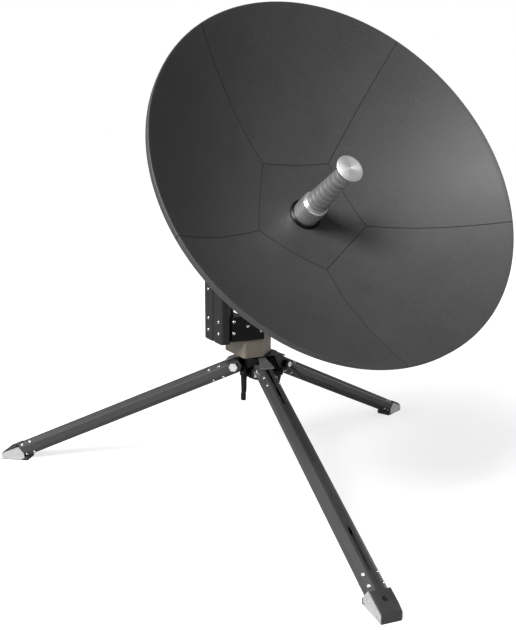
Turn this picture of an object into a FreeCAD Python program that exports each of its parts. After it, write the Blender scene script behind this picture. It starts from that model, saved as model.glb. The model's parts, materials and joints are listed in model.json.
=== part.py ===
"""Portable satellite antenna: five-petal carbon reflector on an azimuth head and a folding tripod.

Units are millimetres and degrees, +Z is up.  Everything is drawn about the azimuth axis, with the
ground at z = 0.  The finished pieces are then moved along the ground, so that the origin comes under
the middle of the overall box.  At rest the reflector looks towards -Y and 31 degrees up, and the
three legs are open.
"""
import FreeCAD, Part
import math
import os
from FreeCAD import Placement, Rotation, Vector

# ---- reflector -------------------------------------------------------------------------------
DISH_DIAMETER = 1000.0
FOCAL_LENGTH = 269.0
SKIN = 5.0
RIM_LIP = 21.0              # how far the rim is turned back
RIM_WALL = 4.0
PETALS = 5
CORE_RADIUS = 173.0         # corners of the pentagonal centre panel
SEAM_GAP = 0.6
FIRST_SEAM = 126.0          # seam angle seen from the front, from +X
RIB_THICKNESS = 6.0
RIB_DEPTH = 17.0
RIB_END_RADIUS = 470.0
LATCH_FLANGE = 1.0          # plane of the petals' inner ribs, along the boresight
LATCH_PIVOT = 122.0         # radius of the latch pivots
LATCH_LEVEL = -4.5
LATCH_END = 182.0
LATCH_HALF_WIDTH = 9.0
LATCH_PIN_RADIUS = 2.5
DISH_ELEVATION = 31.0

# ---- elevation axis and cradle ---------------------------------------------------------------
AXIS_Z = 675.0
BOOM = 301.0                # elevation axis to the vertex of the reflector
ARM_X = 84.0                # inner face of each cradle arm
ARM_THICKNESS = 8.0
ARM_HALF_HEIGHT = 22.0
AXLE_RADIUS = 12.0
HUB_PLATE_RADIUS = 100.0
HUB_PLATE_BACK = -37.0      # along the boresight from the vertex
HUB_PLATE_THICKNESS = 8.0
HUB_RING_WIDTH = 16.0

# ---- feed, measured along the boresight from the vertex --------------------------------------
FEED_NECK_RADIUS = 33.0
FEED_FLANGE_RADIUS = 44.5
FEED_FLANGE_FRONT = 8.0
COLLAR_RADIUS = 37.5
COLLAR_START = 20.0
COLLAR_END = 67.0
HORN_START_RADIUS = 32.0
HORN_END_RADIUS = 21.5
HORN_END = 234.0
HORN_RIBS = 9
SUBREFLECTOR_RADIUS = 36.0
SUBREFLECTOR_FRONT = 242.0
WAVEGUIDE_RADIUS = 9.0
FEED_BACK = -48.0
OMT_HALF = 22.0
OMT_BACK = -150.0
LNB_RADIUS = 26.0
LNB_BACK = -238.0
LNB_FINS = 5
SOCKET_RADIUS = 4.76        # 3/8 inch threaded output socket
SOCKET_LENGTH = 12.0
SOCKET_INSET = 8.0          # from the receiver's back end
PORT_X = 52.0
PORT_Z = -96.0
PORT_HALF_WIDTH = 4.76      # WR-75 waveguide opening
PORT_HALF_HEIGHT = 9.53
FLANGE_HALF = 19.05
FLANGE_HOLE_X = 14.25
FLANGE_HOLE_Y = 13.1
FLANGE_HOLE_RADIUS = 1.8

# ---- tripod ----------------------------------------------------------------------------------
LEG_ANGLES = {"left": 143.0, "front": 262.5, "right": 23.0}
LEG_SHIFTS = {"left": 0.0, "front": -13.0, "right": 0.0}     # counter-clockwise, off the azimuth axis
LEG_SLOPE = 24.2            # below the horizontal
HINGE_RADIUS = 76.0
HINGE_HEIGHT = 352.0
LEG_WIDTH = 50.0
LEG_HEIGHT = 48.0
LEG_CHAMFER = 13.0
LEG_WALL = 2.5
LEG_GAP = 8.0
CHANNEL_LENGTH = 790.0      # hinge axis to the foot end of the channels
FOOT_TIP_RADIUS = 858.0
CHEEK_THICKNESS = 2.5
STAKE_RADIUS = 6.5
STAKE_HOLE_AT = 828.0
HINGE_BOLT_RADIUS = 8.0
RUNNING = 0.05              # radial clearance of a running fit
SCREW_RADIUS = 2.4
SCREW_HEAD_RADIUS = 4.75
SCREW_HEAD_HEIGHT = 2.5
HUB_RADIUS = 48.0
HUB_BOTTOM = 326.0
HUB_TOP = 386.0
EAR_INNER = 25.5            # from the leg's centre plane
EAR_OUTER = 46.0
HINGE_SCREWS = (45.0, 78.0)     # distances from the hinge axis along the leg
FOOT_SCREWS = (742.0, 772.0)
HINGE_BLOCK_END = 95.0
FORK_START = 18.0
SPACER_START = 170.0
SPACER_END = 613.0
TONGUE_START = 700.0
TONGUE_FORK_END = 735.0
CHEEK_OUTLINE = [(798.0, 45.0), (852.0, 23.0), (857.0, 18.0), (857.0, 2.5), (790.0, 2.5), (778.0, 10.0),
                 (780.0, 24.0)]
CHEEK_SCREWS = [(800.0, 22.0), (842.0, 9.0)]
BOLT_HEAD_FLATS = 24.0
BOLT_HEAD_HEIGHT = 10.0
BOLT_END = -60.0                # across the leg, from its centre plane
LEVER_INNER = -46.4
LEVER_OUTER = -56.0
LEVER_LENGTH = 108.0
LEVER_SLOPES = {"left": 38.0, "front": 115.0, "right": 38.0}
MIRRORED_HINGE = "front"        # its bolt head and its lever have changed sides
LOCK_ANGLE = 203.0
LOCK_RADIUS = 74.0
LOCK_PIVOT_Z = 345.0
LOCK_LENGTH = 84.0
LOCK_CHEEK = 6.0
LOCK_PIN_RADIUS = 3.0

# ---- azimuth head ----------------------------------------------------------------------------
HOUSING_BOTTOM = 396.0
HOUSING_TOP = 503.0
HOUSING_WALL = 4.0
HOUSING_LEFT = -82.0
HOUSING_RIGHT = 40.0
HOUSING_FRONT = -58.0
HOUSING_BACK = 78.0
HOUSING_CHAMFER = 57.0
SPINDLE_RADIUS = 15.0
SPINDLE_TOP = 470.0
UPRIGHT_INNER = 124.0
UPRIGHT_WIDTH = 34.0
UPRIGHT_DEPTH = 56.0
UPRIGHT_GAP = 8.0
UPRIGHT_BOTTOM = 444.0
UPRIGHT_TOP = 716.0
UPRIGHT_WALL = 3.0
UPRIGHT_ROUND = 10.0
UPRIGHT_END_ROUND = 7.0
UPRIGHT_SCREWS_Y = (-46.0, 26.0)      # front and rear tube
UPRIGHT_SCREW_HEAD = 5.25             # M6 button heads
PLATE_BOTTOM = 452.0
PLATE_TOP = 526.0
PLATE_THICKNESS = 4.0
SIDE_PLATE_THICKNESS = 9.0
BUSH_WALL = 3.0
TURNTABLE_RADIUS = 56.0
TURNTABLE_STEP = 40.0
TURNTABLE_THICKNESS = 2.6
UPPER_BUSH_Z = 446.0
UPPER_BUSH_HEIGHT = 12.0
SIDE_SCREW_Z = (478.0, 513.0)
KNOB_BOTTOM = HOUSING_TOP + 5
KNOB_RADIUS = 20.0
KNOB_HEIGHT = 17.0
KNOB_LOBES = 7
CRANK_X = UPRIGHT_INNER + UPRIGHT_WIDTH + 4
CRANK_LENGTH = 62.0

# ---- gears -----------------------------------------------------------------------------------
AZIMUTH_MODULE = 1.5
ELEVATION_MODULE = 2.0
PINION_TEETH = 18
AZIMUTH_TEETH = 30
SECTOR_TEETH = 90
SECTOR_FIRST = 238.0
SECTOR_LAST = 335.0
PRESSURE_ANGLE = 20.0
BACKLASH = 0.2
GEAR_WIDTH = 8.0
AZIMUTH_GEAR_Z = 422.0
PINION_SHAFT_RADIUS = 5.0
GEAR_SPACING = 0.1          # added to the centre distance
AZIMUTH_CENTRES = AZIMUTH_MODULE * (AZIMUTH_TEETH + PINION_TEETH) / 2 + GEAR_SPACING
ELEVATION_CENTRES = ELEVATION_MODULE * (SECTOR_TEETH + PINION_TEETH) / 2 + GEAR_SPACING

RIM_RADIUS = DISH_DIAMETER / 2
APOTHEM = CORE_RADIUS * math.cos(math.pi / PETALS)
DEEP = -120.0               # limits of a cutting body along the boresight
HIGH = 320.0
UP = Vector(0, 0, 1)
NODES = {}


# ---- general shapes --------------------------------------------------------------------------
def box(x0, x1, y0, y1, z0, z1):
    """A box from its limits."""
    return Part.makeBox(x1 - x0, y1 - y0, z1 - z0, Vector(x0, y0, z0))


def cylinder(radius, z0, z1, centre=(0, 0)):
    """A cylinder along Z."""
    return Part.makeCylinder(radius, z1 - z0, Vector(centre[0], centre[1], z0))


def rod_x(radius, x0, x1, y, z):
    """A cylinder along X."""
    return Part.makeCylinder(radius, x1 - x0, Vector(x0, y, z), Vector(1, 0, 0))


def rod_y(radius, y0, y1, x, z):
    """A cylinder along Y."""
    return Part.makeCylinder(radius, y1 - y0, Vector(x, y0, z), Vector(0, 1, 0))


def ring(outer, inner, z0, z1, centre=(0, 0)):
    """A hollow cylinder along Z."""
    return cylinder(outer, z0, z1, centre).cut(cylinder(inner, z0, z1, centre))


def prism(points, direction):
    """A closed outline of 3-D points, extruded along a vector."""
    corners = [Vector(*p) for p in points]
    wire = Part.makePolygon(corners + corners[:1])
    return Part.Face(wire).extrude(Vector(*direction))


def revolve(points):
    """A closed outline of (radius, height) points, turned about Z."""
    corners = [Vector(r, 0, z) for r, z in points]
    wire = Part.makePolygon(corners + corners[:1])
    return Part.Face(wire).revolve(Vector(0, 0, 0), UP, 360)


def fuse(pieces):
    """One solid from touching pieces."""
    whole = pieces[0]
    for piece in pieces[1:]:
        whole = whole.fuse(piece)
    return whole.removeSplitter()


def cut_all(shape, tools):
    """The shape less every tool."""
    for tool in tools:
        shape = shape.cut(tool)
    return shape


def moved(shape, placement):
    """A placed copy of the shape."""
    copy = shape.copy()
    copy.Placement = placement.multiply(copy.Placement)
    return copy


def long_edges(shape, direction, at_least):
    """The straight edges that run along a direction."""
    along = Vector(*direction)
    found = []
    for edge in shape.Edges:
        if edge.Curve.TypeId != "Part::GeomLine" or edge.Length < at_least:
            continue
        if abs(edge.tangentAt(edge.FirstParameter).dot(along)) > 0.999:
            found.append(edge)
    return found


def node(name, *shapes):
    """Keep the solids of one sub-part under its name."""
    solids = [solid for shape in shapes for solid in shape.Solids]
    NODES[name] = solids[0] if len(solids) == 1 else Part.makeCompound(solids)


def button_screw(length=10.0, radius=SCREW_RADIUS, head=SCREW_HEAD_RADIUS, height=SCREW_HEAD_HEIGHT):
    """A button-head socket screw along -Z, with the underside of its head at the origin."""
    dome = cylinder(head, 0, height)
    dome = dome.makeFillet(height * 0.7, [e for e in dome.Edges if e.BoundBox.ZMin > height / 2])
    socket_corners = [Vector(0.32 * head * 2 * math.cos(a), 0.32 * head * 2 * math.sin(a), height * 0.45)
                      for a in (math.radians(60 * i) for i in range(6))]
    socket = Part.Face(Part.makePolygon(socket_corners + socket_corners[:1])).extrude(Vector(0, 0, height))
    return fuse([dome.cut(socket), cylinder(radius, -length, 0)])


def hexagon(across_flats, z0, z1):
    """A hexagonal prism along Z."""
    radius = across_flats / 2 / math.cos(math.radians(30))
    points = [(radius * math.cos(math.radians(60 * i)), radius * math.sin(math.radians(60 * i)), z0)
              for i in range(6)]
    return prism(points, (0, 0, z1 - z0))


# ---- gears -----------------------------------------------------------------------------------
def involute_point(base, radius, offset, side):
    """A point of an involute flank at a radius, turned by an offset and mirrored by side."""
    roll = math.sqrt(max((radius / base) ** 2 - 1, 0))
    angle = side * (roll - math.atan(roll)) + offset
    return Vector(radius * math.cos(angle), radius * math.sin(angle), 0)


def spur_gear(module, teeth, bore, first_tooth=0.0):
    """An involute spur gear along Z, with one tooth centred on the first_tooth angle."""
    pitch = module * teeth / 2
    base = pitch * math.cos(math.radians(PRESSURE_ANGLE))
    tip = pitch + 0.9 * module
    root = pitch - 1.2 * module
    start = max(base, root + 0.05)
    involute = math.tan(math.radians(PRESSURE_ANGLE)) - math.radians(PRESSURE_ANGLE)
    half = math.pi / (2 * teeth) - BACKLASH / (2 * pitch) + involute
    steps = 4
    radii = [start + (tip - start) * i / steps for i in range(steps + 1)]
    outline = []
    for tooth in range(teeth):
        middle = math.radians(first_tooth) + 2 * math.pi * tooth / teeth
        foot = Vector(root * math.cos(middle - half), root * math.sin(middle - half), 0)
        outline.append(foot)
        outline += [involute_point(base, r, middle - half, 1) for r in radii]
        outline += [involute_point(base, r, middle + half, -1) for r in reversed(radii)]
        outline.append(Vector(root * math.cos(middle + half), root * math.sin(middle + half), 0))
    blank = Part.Face(Part.makePolygon(outline + outline[:1])).extrude(Vector(0, 0, GEAR_WIDTH))
    return blank.cut(cylinder(bore, 0, GEAR_WIDTH))


# ---- tripod ----------------------------------------------------------------------------------
def leg_frame(name):
    """From a leg's own axes (x along it, y counter-clockwise, z up) to the world."""
    turn = Placement(Vector(0, 0, 0), Rotation(UP, LEG_ANGLES[name]))
    hinge_place = Vector(HINGE_RADIUS, LEG_SHIFTS[name], HINGE_HEIGHT)
    return turn.multiply(Placement(hinge_place, Rotation(Vector(0, 1, 0), LEG_SLOPE)))


def spoke_frame(name):
    """From a leg's vertical plane (x outward, z up) to the world."""
    turn = Placement(Vector(0, 0, 0), Rotation(UP, LEG_ANGLES[name]))
    return turn.multiply(Placement(Vector(0, LEG_SHIFTS[name], 0), Rotation()))


def octagon_bar(inset, x0, x1):
    """A bar with the leg's chamfered section, shrunk all round by an inset."""
    half_width = LEG_WIDTH / 2 - inset
    half_height = LEG_HEIGHT / 2 - inset
    corner = LEG_CHAMFER - inset * (2 - math.sqrt(2))
    right = [(half_width - corner, half_height), (half_width, half_height - corner),
             (half_width, corner - half_height), (half_width - corner, -half_height)]
    section = right + [(-y, z) for y, z in reversed(right)]
    return prism([(x0, y, z) for y, z in section], (x1 - x0, 0, 0))


def screw_places(stations):
    """The leg screws' frames: on all four chamfers, at each distance from the hinge."""
    across = (LEG_WIDTH - LEG_CHAMFER) / 2
    up = (LEG_HEIGHT - LEG_CHAMFER) / 2
    places = []
    for x in stations:
        for side in (1, -1):
            for level in (1, -1):
                lean = Rotation(UP, Vector(0, side, level))
                places.append(Placement(Vector(x, side * across, level * up), lean))
    return places


def rounded_leg_outline():
    """Everything on the leg side of the round hinge end."""
    reach = LEG_HEIGHT / 2
    body = box(0, CHANNEL_LENGTH, -LEG_WIDTH, LEG_WIDTH, -reach, reach)
    return body.fuse(rod_y(reach, -LEG_WIDTH, LEG_WIDTH, 0, 0))


def leg_channels(screw_holes):
    """The two carbon channels, open towards each other."""
    outer = octagon_bar(0, -LEG_HEIGHT, CHANNEL_LENGTH)
    outer = outer.makeFillet(5.0, long_edges(outer, (1, 0, 0), 100))
    inner = octagon_bar(LEG_WALL, -2 * LEG_HEIGHT, CHANNEL_LENGTH + 1)
    tube = outer.cut(inner).common(rounded_leg_outline())
    gap = box(-LEG_HEIGHT, CHANNEL_LENGTH + 1, -LEG_GAP / 2, LEG_GAP / 2, -LEG_HEIGHT, LEG_HEIGHT)
    bore = rod_y(HINGE_BOLT_RADIUS + 0.4, -LEG_WIDTH, LEG_WIDTH, 0, 0)
    return cut_all(tube, [gap, bore] + screw_holes)


def hinge_block(screw_holes):
    """The forked block between the channels that turns on the hinge bolt."""
    core = octagon_bar(LEG_WALL, -LEG_HEIGHT, HINGE_BLOCK_END).common(rounded_leg_outline())
    slot = box(FORK_START, HINGE_BLOCK_END, -LEG_GAP / 2, LEG_GAP / 2, -LEG_HEIGHT, LEG_HEIGHT)
    bore = rod_y(HINGE_BOLT_RADIUS + RUNNING, -LEG_WIDTH, LEG_WIDTH, 0, 0)
    return cut_all(core, [slot, bore] + screw_holes)


def leg_spacer():
    """The strip that keeps the channels apart along the middle of the leg."""
    inside = LEG_HEIGHT / 2 - LEG_WALL
    wide = box(SPACER_START, SPACER_END, -LEG_GAP, LEG_GAP, -inside, inside)
    neck = box(SPACER_START, SPACER_END, -LEG_GAP / 2, LEG_GAP / 2, -inside - 1, inside + 1)
    return fuse([wide, neck])


def foot_block(name, screw_holes):
    """The solid foot: a tongue inside the channels and a ground pad, with a hole for a stake."""
    tongue = octagon_bar(LEG_WALL, TONGUE_START, CHANNEL_LENGTH)
    slot = box(TONGUE_START, TONGUE_FORK_END, -LEG_GAP / 2, LEG_GAP / 2, -LEG_HEIGHT, LEG_HEIGHT)
    tongue = moved(cut_all(tongue, [slot] + screw_holes), leg_frame(name))
    slope = math.radians(LEG_SLOPE)
    half = LEG_HEIGHT / 2

    def along(x, z):
        """A point of the leg in its vertical plane."""
        return (HINGE_RADIUS + x * math.cos(slope) + z * math.sin(slope),
                HINGE_HEIGHT - x * math.sin(slope) + z * math.cos(slope))

    top = along(CHANNEL_LENGTH, half)
    bottom = along(CHANNEL_LENGTH, -half)
    crease = along(CHANNEL_LENGTH + 41, half)
    heel = along(CHANNEL_LENGTH - 19, -half)
    outline = [top, crease, (FOOT_TIP_RADIUS, 22.0), (FOOT_TIP_RADIUS, 0.0), (heel[0], 0.0), heel, bottom]
    half_width = LEG_WIDTH / 2
    pad = prism([(r, -half_width, z) for r, z in outline], (0, LEG_WIDTH, 0))
    pad = pad.makeFillet(2.0, [e for e in long_edges(pad, (0, 1, 0), 1) if e.BoundBox.XMin > top[0] + 5
                               and e.BoundBox.ZMin > 1])
    stake = cylinder(STAKE_RADIUS, -1, 100, (STAKE_HOLE_AT, 0))
    pad = moved(pad.cut(stake), spoke_frame(name))
    return fuse([tongue, pad])


def cheek_plates(name):
    """The two bright wear plates on the sides of a foot."""
    plates = []
    for side in (1, -1):
        start = side * LEG_WIDTH / 2
        plate = prism([(r, start, z) for r, z in CHEEK_OUTLINE], (0, side * CHEEK_THICKNESS, 0))
        plates.append(moved(plate, spoke_frame(name)))
    return plates


def cheek_screws(name):
    """The small screws of the wear plates."""
    screws = []
    for side in (1, -1):
        for r, z in CHEEK_SCREWS:
            out = Placement(Vector(r, side * (LEG_WIDTH / 2 + CHEEK_THICKNESS), z),
                            Rotation(UP, Vector(0, side, 0)))
            screw = button_screw(CHEEK_THICKNESS, 1.2, 2.6, 1.2)
            screws.append(moved(moved(screw, out), spoke_frame(name)))
    return screws


def build_leg(name):
    """All the pieces of one leg, without its hinge bolt."""
    frame = leg_frame(name)
    places = screw_places(HINGE_SCREWS + FOOT_SCREWS)
    holes = [moved(cylinder(SCREW_RADIUS, -10, 10), place) for place in places]
    screws = [moved(moved(button_screw(), place), frame) for place in places]
    small = cheek_screws(name)
    plates = [cut_all(plate, small) for plate in cheek_plates(name)]
    node("leg_channels_" + name, moved(leg_channels(holes), frame))
    node("hinge_block_" + name, moved(hinge_block(holes), frame))
    node("leg_spacer_" + name, moved(leg_spacer(), frame))
    node("foot_block_" + name, foot_block(name, holes))
    node("foot_plates_" + name, *plates)
    node("leg_screws_" + name, *screws, *small)


def hinge_side(shape, name):
    """From a leg's vertical plane to the world, with the mirrored hinge turned about."""
    if name == MIRRORED_HINGE:
        shape = shape.mirror(Vector(0, 0, 0), Vector(0, 1, 0))
    return moved(shape, spoke_frame(name))


def hinge_bolt(name):
    """A leg's pivot bolt: its head on the counter-clockwise side, its thread in the clamp lever."""
    head_face = LEG_WIDTH / 2 + 0.3
    head = hexagon(BOLT_HEAD_FLATS, head_face, head_face + BOLT_HEAD_HEIGHT)
    shank = cylinder(HINGE_BOLT_RADIUS, BOLT_END, head_face)
    across = Placement(Vector(HINGE_RADIUS, 0, HINGE_HEIGHT), Rotation(UP, Vector(0, 1, 0)))
    return hinge_side(moved(fuse([head, shank]), across), name)


def clamp_lever(name):
    """The lever that clamps a leg against its ear of the hub."""
    width = LEVER_INNER - LEVER_OUTER
    boss = cylinder(13.0, 0, width)
    bar = prism([(0, -7, 1), (LEVER_LENGTH - 8, -4.5, 1), (LEVER_LENGTH, 0, 1),
                 (LEVER_LENGTH - 8, 4.5, 1), (0, 7, 1)], (0, 0, width - 2))
    lever = fuse([boss, bar]).cut(cylinder(HINGE_BOLT_RADIUS + RUNNING, -1, width + 1))
    # the lever's own axes: x along it, z away from the leg
    aim = Placement(Vector(HINGE_RADIUS, LEVER_INNER, HINGE_HEIGHT), Rotation(Vector(1, 0, 0), 90))
    slope = Placement(Vector(0, 0, 0), Rotation(UP, -LEVER_SLOPES[name]))
    return hinge_side(moved(lever, aim.multiply(slope)), name)


def hub_ear(name):
    """One of the hub's arms, beside the clockwise face of its leg."""
    low = HUB_BOTTOM + 6
    outline = [(8, low), (HINGE_RADIUS - 6, HINGE_HEIGHT - 17), (HINGE_RADIUS + 6, HINGE_HEIGHT - 15),
               (HINGE_RADIUS + 12, HINGE_HEIGHT + 11), (44, HUB_TOP + 5), (8, HUB_TOP + 5)]
    arm = prism([(r, -EAR_OUTER, z) for r, z in outline], (0, EAR_OUTER - EAR_INNER, 0))
    eye = rod_y(17.0, -EAR_OUTER, -EAR_INNER, HINGE_RADIUS, HINGE_HEIGHT)
    bolt = rod_y(HINGE_BOLT_RADIUS, -2 * LEG_WIDTH, 0, HINGE_RADIUS, HINGE_HEIGHT)
    return hinge_side(arm.fuse(eye).cut(bolt), name)


def lock_frame():
    """From the azimuth lock's vertical plane to the world."""
    return Placement(Vector(0, 0, 0), Rotation(UP, LOCK_ANGLE))


def lock_lug():
    """The forked lug of the hub that holds the azimuth lock lever."""
    outside = LOCK_CHEEK + 5
    low = LOCK_PIVOT_Z - 7
    high = LOCK_PIVOT_Z + 15
    lug = box(HUB_RADIUS - 6, LOCK_RADIUS + 6, -outside, outside, low, high)
    slot = box(LOCK_RADIUS - 12, LOCK_RADIUS + 7, -LOCK_CHEEK, LOCK_CHEEK, low - 1, high + 1)
    pin = rod_y(LOCK_PIN_RADIUS, -outside - 1, outside + 1, LOCK_RADIUS, LOCK_PIVOT_Z)
    return moved(cut_all(lug, [slot, pin]), lock_frame())


def azimuth_lock_lever():
    """The hanging lever, with its pivot pin, that locks the azimuth turntable."""
    half = LOCK_CHEEK - 0.4
    outline = [(-8, 0), (-5.5, -LOCK_LENGTH + 25), (-3.5, -LOCK_LENGTH + 25), (-3.5, -LOCK_LENGTH),
               (6.5, -LOCK_LENGTH), (7.5, -LOCK_LENGTH + 4), (7.5, -LOCK_LENGTH + 21), (5, -LOCK_LENGTH + 25),
               (8, 0)]
    blade = prism([(LOCK_RADIUS + x, -half, LOCK_PIVOT_Z + z) for x, z in outline], (0, 2 * half, 0))
    cam = rod_y(8.0, -half, half, LOCK_RADIUS, LOCK_PIVOT_Z)
    reach = LOCK_CHEEK + 6
    pin = rod_y(LOCK_PIN_RADIUS - RUNNING, -reach, reach, LOCK_RADIUS, LOCK_PIVOT_Z)
    return moved(fuse([blade, cam, pin]), lock_frame())


def stop_wedge(name):
    """The grey wedge over a hinge that stops its leg, with a raised pad on top."""
    slope = math.radians(LEG_SLOPE)
    top = HINGE_HEIGHT + LEG_HEIGHT / 2 + 0.6

    def under(r):
        """Height of the wedge's underside, just clear of the leg's top face."""
        return top + 2.6 - max(r - HINGE_RADIUS, 0) * math.tan(slope)

    side = [(40, HUB_TOP), (50, HUB_TOP), (HINGE_RADIUS, under(HINGE_RADIUS)), (102, under(102)),
            (102, under(102) + 5), (58, HUB_TOP + 6.5), (40, HUB_TOP + 6.5)]
    body = prism([(r, -24, z) for r, z in side], (0, 48, 0))
    plan = prism([(40, -6, 300), (102, -22, 300), (102, 22, 300), (40, 6, 300)], (0, 0, 200))
    return moved(body.common(plan), spoke_frame(name))


def build_tripod():
    """The hub, its bolts and levers, and the three legs."""
    hub = fuse([cylinder(HUB_RADIUS, HUB_BOTTOM, HUB_TOP), cylinder(34.0, HUB_BOTTOM - 8, HUB_BOTTOM)]
               + [hub_ear(name) for name in LEG_ANGLES] + [lock_lug()])
    hub = hub.cut(cylinder(SPINDLE_RADIUS, HUB_BOTTOM - 9, HUB_TOP + 6))
    hub = hub.cut(cylinder(TURNTABLE_STEP + 2, HUB_TOP, HOUSING_BOTTOM))
    wedges = [stop_wedge(name) for name in LEG_ANGLES]
    hub = cut_all(hub, wedges)
    node("hub_casting", hub)
    node("leg_stop_wedges", *wedges)
    node("hinge_bolts", *[hinge_bolt(name) for name in LEG_ANGLES])
    node("azimuth_lock_lever", azimuth_lock_lever())
    for name in LEG_ANGLES:
        build_leg(name)
        node("clamp_lever_" + name, clamp_lever(name))


# ---- azimuth head ----------------------------------------------------------------------------
def housing_outline(inset, z0, z1):
    """The gear housing's plan: a box with one large chamfer at the front right."""
    left = HOUSING_LEFT + inset
    right = HOUSING_RIGHT - inset
    front = HOUSING_FRONT + inset
    back = HOUSING_BACK - inset
    turn = inset * math.tan(math.radians(22.5))
    points = [(left, front, z0), (HOUSING_RIGHT - HOUSING_CHAMFER - turn, front, z0),
              (right, HOUSING_FRONT + HOUSING_CHAMFER + turn, z0), (right, back, z0), (left, back, z0)]
    return prism(points, (0, 0, z1 - z0))


def gear_housing():
    """The hollow housing of the azimuth gear, open at the top, with two spindle bores."""
    outer = housing_outline(0, HOUSING_BOTTOM, HOUSING_TOP - HOUSING_WALL)
    outer = outer.makeFillet(9.0, long_edges(outer, (0, 0, 1), 50))
    rim = [e for e in outer.Edges if e.BoundBox.ZMax < HOUSING_BOTTOM + 0.01]
    outer = outer.makeFillet(2.5, rim)
    inner = housing_outline(HOUSING_WALL, HOUSING_BOTTOM + HOUSING_WALL, HOUSING_TOP)
    bore = cylinder(SPINDLE_RADIUS + BUSH_WALL, HOUSING_BOTTOM - 1, HOUSING_TOP)
    bridge = box(HOUSING_LEFT + 2, HOUSING_RIGHT - 2, -30, 30, UPPER_BUSH_Z, UPPER_BUSH_Z + UPPER_BUSH_HEIGHT)
    bridge = bridge.common(housing_outline(2, UPPER_BUSH_Z, UPPER_BUSH_Z + UPPER_BUSH_HEIGHT))
    pinion = (0, AZIMUTH_CENTRES)
    seat = cylinder(11.0, HOUSING_BOTTOM + 2, HOUSING_BOTTOM + 14, pinion)
    pinion_bore = cylinder(PINION_SHAFT_RADIUS + RUNNING, HOUSING_BOTTOM + 4, HOUSING_TOP, pinion)
    return cut_all(fuse([outer.cut(inner), bridge, seat]), [bore, pinion_bore])


def housing_lid():
    """The housing's lid, with the hole for the azimuth pinion's shaft."""
    lid = housing_outline(0, HOUSING_TOP - HOUSING_WALL, HOUSING_TOP)
    lid = lid.makeFillet(9.0, long_edges(lid, (0, 0, 1), 3))
    lid = lid.makeFillet(1.5, [e for e in lid.Edges if e.BoundBox.ZMin > HOUSING_TOP - 0.01])
    pinion = (0, AZIMUTH_CENTRES)
    boss = cylinder(12.0, HOUSING_TOP, HOUSING_TOP + 3, pinion)
    shaft = cylinder(PINION_SHAFT_RADIUS + RUNNING, HOUSING_TOP - 10, HOUSING_TOP + 5, pinion)
    return fuse([lid, boss]).cut(shaft)


def uprights():
    """The four closed tubes of the yoke: a front and a rear one on each side."""
    tubes = []
    for side in (1, -1):
        for end in (1, -1):
            x0, x1 = sorted((side * UPRIGHT_INNER, side * (UPRIGHT_INNER + UPRIGHT_WIDTH)))
            y0, y1 = sorted((end * UPRIGHT_GAP / 2, end * (UPRIGHT_GAP / 2 + UPRIGHT_DEPTH)))
            outer = box(x0, x1, y0, y1, UPRIGHT_BOTTOM, UPRIGHT_TOP)
            outer = outer.makeFillet(UPRIGHT_ROUND, long_edges(outer, (0, 0, 1), 100))
            ends = [e for e in outer.Edges if e.BoundBox.ZMax < UPRIGHT_BOTTOM + 0.01
                    or e.BoundBox.ZMin > UPRIGHT_TOP - 0.01]
            outer = outer.makeFillet(UPRIGHT_END_ROUND, ends)
            wall = UPRIGHT_WALL
            inner = box(x0 + wall, x1 - wall, y0 + wall, y1 - wall, UPRIGHT_BOTTOM + 8, UPRIGHT_TOP - 8)
            inner = inner.makeFillet(UPRIGHT_ROUND - wall, long_edges(inner, (0, 0, 1), 100))
            tubes.append(outer.cut(inner))
    return tubes


def along_x(shape, x, y, z):
    """Turn a shape from the Z axis to the X axis, and move its origin."""
    return moved(shape, Placement(Vector(x, y, z), Rotation(UP, Vector(1, 0, 0))))


def crank_axis_hole(radius):
    """A hole along X at the elevation crank's axis, on the +X side."""
    return rod_x(radius, HOUSING_RIGHT, CRANK_X, 0, AXIS_Z - ELEVATION_CENTRES)


def axle_hole(radius):
    """A hole along X at the elevation axis."""
    return rod_x(radius, -CRANK_X, CRANK_X, 0, AXIS_Z)


def yoke_sides():
    """On each side, a bracket from the housing to the uprights and the plate that holds the axle."""
    back = UPRIGHT_GAP / 2 + UPRIGHT_DEPTH
    front = -back
    left_block = box(-UPRIGHT_INNER, HOUSING_LEFT, HOUSING_FRONT, back - 6, PLATE_BOTTOM, PLATE_TOP)
    left_pocket = box(-UPRIGHT_INNER + 10, HOUSING_LEFT - 6, HOUSING_FRONT + 8, back - 14,
                      PLATE_BOTTOM - 1, PLATE_TOP - 8)
    right_start = HOUSING_FRONT + HOUSING_CHAMFER + 10
    right_block = box(HOUSING_RIGHT, UPRIGHT_INNER, right_start, back - 6, PLATE_BOTTOM, PLATE_TOP)
    right_pocket = box(HOUSING_RIGHT + 6, UPRIGHT_INNER - 10, right_start + 8, back - 14,
                       PLATE_BOTTOM - 1, PLATE_TOP - 8)
    sides = []
    for side, block, pocket in ((-1, left_block, left_pocket), (1, right_block, right_pocket)):
        x0, x1 = sorted((side * (UPRIGHT_INNER - SIDE_PLATE_THICKNESS), side * UPRIGHT_INNER))
        plate = box(x0, x1, front + 4, back - 6, PLATE_BOTTOM, UPRIGHT_TOP - 4)
        top = [e for e in long_edges(plate, (1, 0, 0), 1) if e.BoundBox.ZMin > AXIS_Z]
        plate = plate.makeFillet(18.0, top)
        window = box(x0 - 1, x1 + 1, front + 26, back - 28, PLATE_TOP + 14, AXIS_Z - 40)
        pieces = [block.cut(pocket), plate.cut(window)]
        if side == 1:
            pieces.append(crank_web(x0, x1))
        bores = [axle_hole(AXLE_RADIUS + BUSH_WALL), crank_axis_hole(PINION_SHAFT_RADIUS + RUNNING)]
        sides.append(cut_all(fuse(pieces), bores))
    return sides


def crank_web(x0, x1):
    """The bridge across the right side plate that carries the elevation crank."""
    middle = AXIS_Z - ELEVATION_CENTRES
    return box(x0, x1, -40, 38, middle - 14, middle + 14)


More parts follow.
